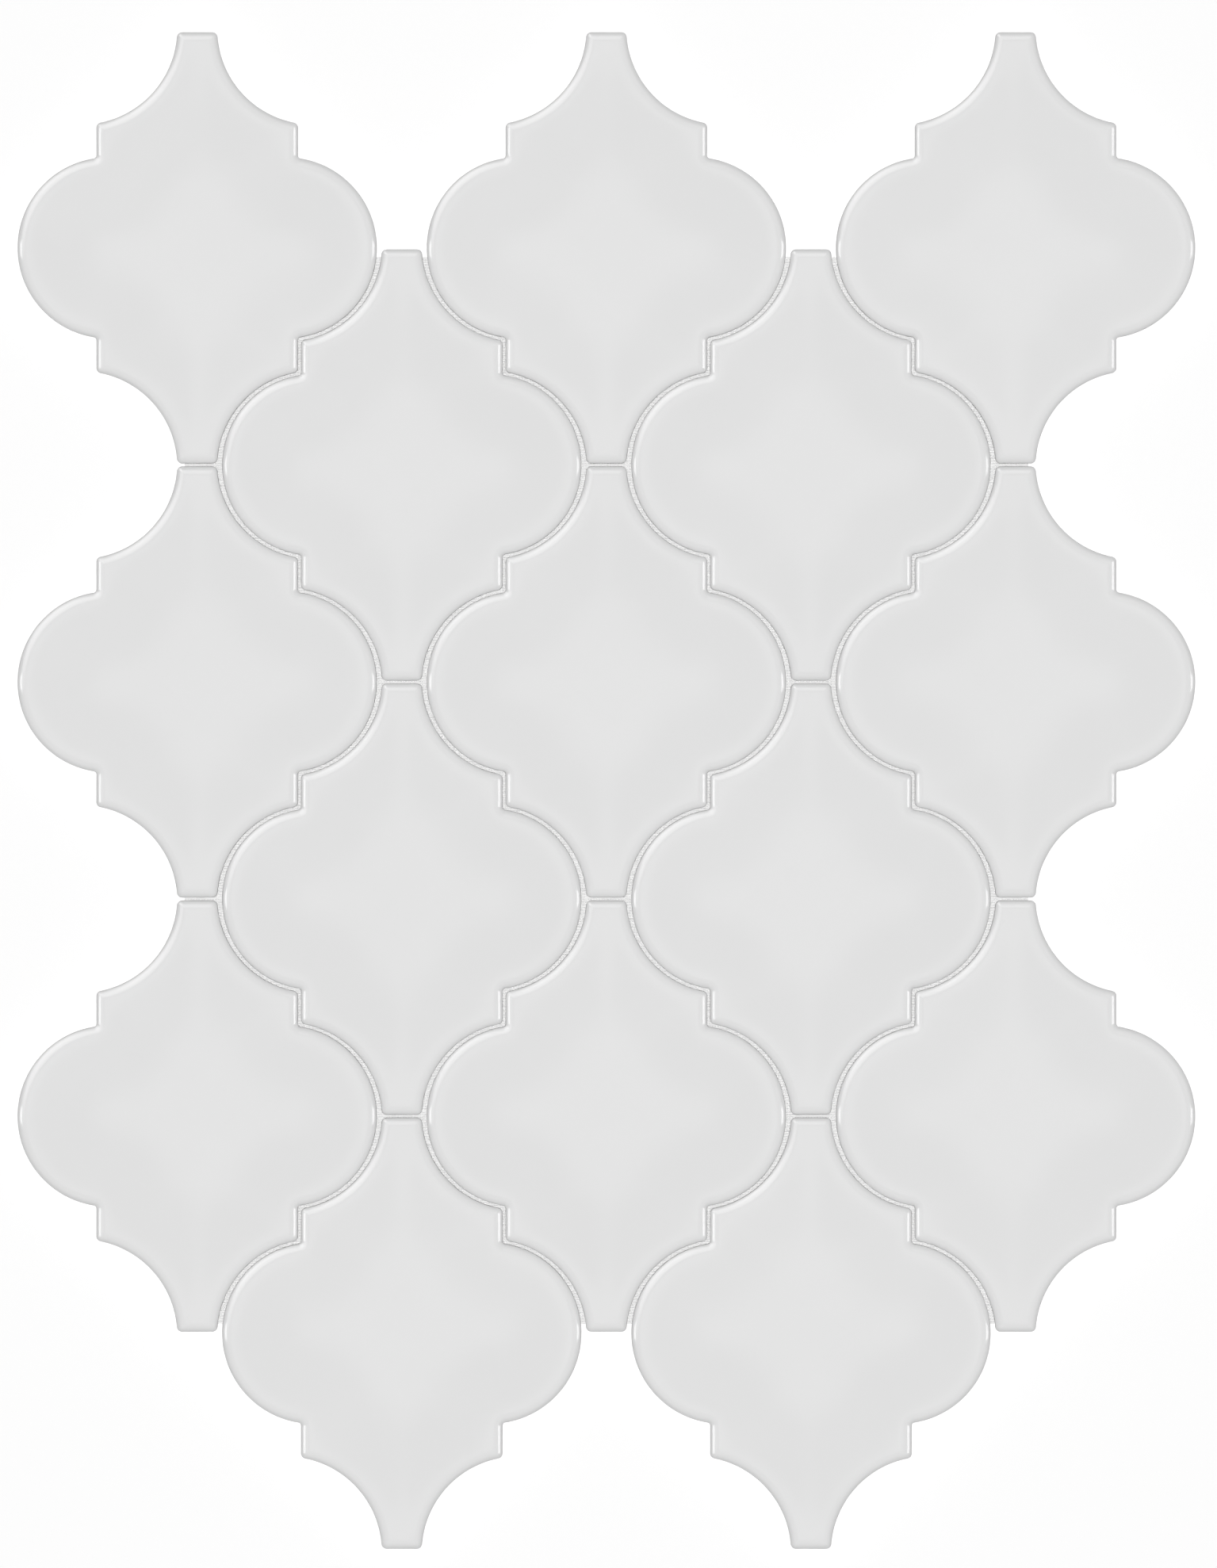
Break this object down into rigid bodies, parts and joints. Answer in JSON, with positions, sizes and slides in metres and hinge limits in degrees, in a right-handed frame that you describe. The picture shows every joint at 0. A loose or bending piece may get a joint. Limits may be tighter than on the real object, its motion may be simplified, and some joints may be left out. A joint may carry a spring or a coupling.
{
  "type": "mesh-mounted arabesque tile sheet",
  "caption": "Interlocking sheet of glossy white lantern-shaped ceramic tiles with rolled edges and narrow open joints, held on a rectangular mesh backing, for tiling walls.",
  "frame": {"origin": "under the middle of the sheet, on the surface that the backing lies on", "axes": "+X across the sheet, +Y up the sheet towards its row of three necks, +Z out of the glazed faces"},
  "size_m": [0.2564, 0.3302, 0.0069],
  "materials": {
    "glaze": "glossy white glaze",
    "backing_mesh": "white glass-fibre mesh"
  },
  "bodies": {
    "root": {"tile_row1_left": "glaze", "tile_row1_middle": "glaze", "tile_row1_right": "glaze", "tile_row2_left": "glaze", "tile_row2_right": "glaze", "tile_row3_left": "glaze", "tile_row3_middle": "glaze", "tile_row3_right": "glaze", "tile_row4_left": "glaze", "tile_row4_right": "glaze", "tile_row5_left": "glaze", "tile_row5_middle": "glaze", "tile_row5_right": "glaze", "tile_row6_left": "glaze", "tile_row6_right": "glaze", "mesh_backing": "backing_mesh"}
  },
  "joints": []
}
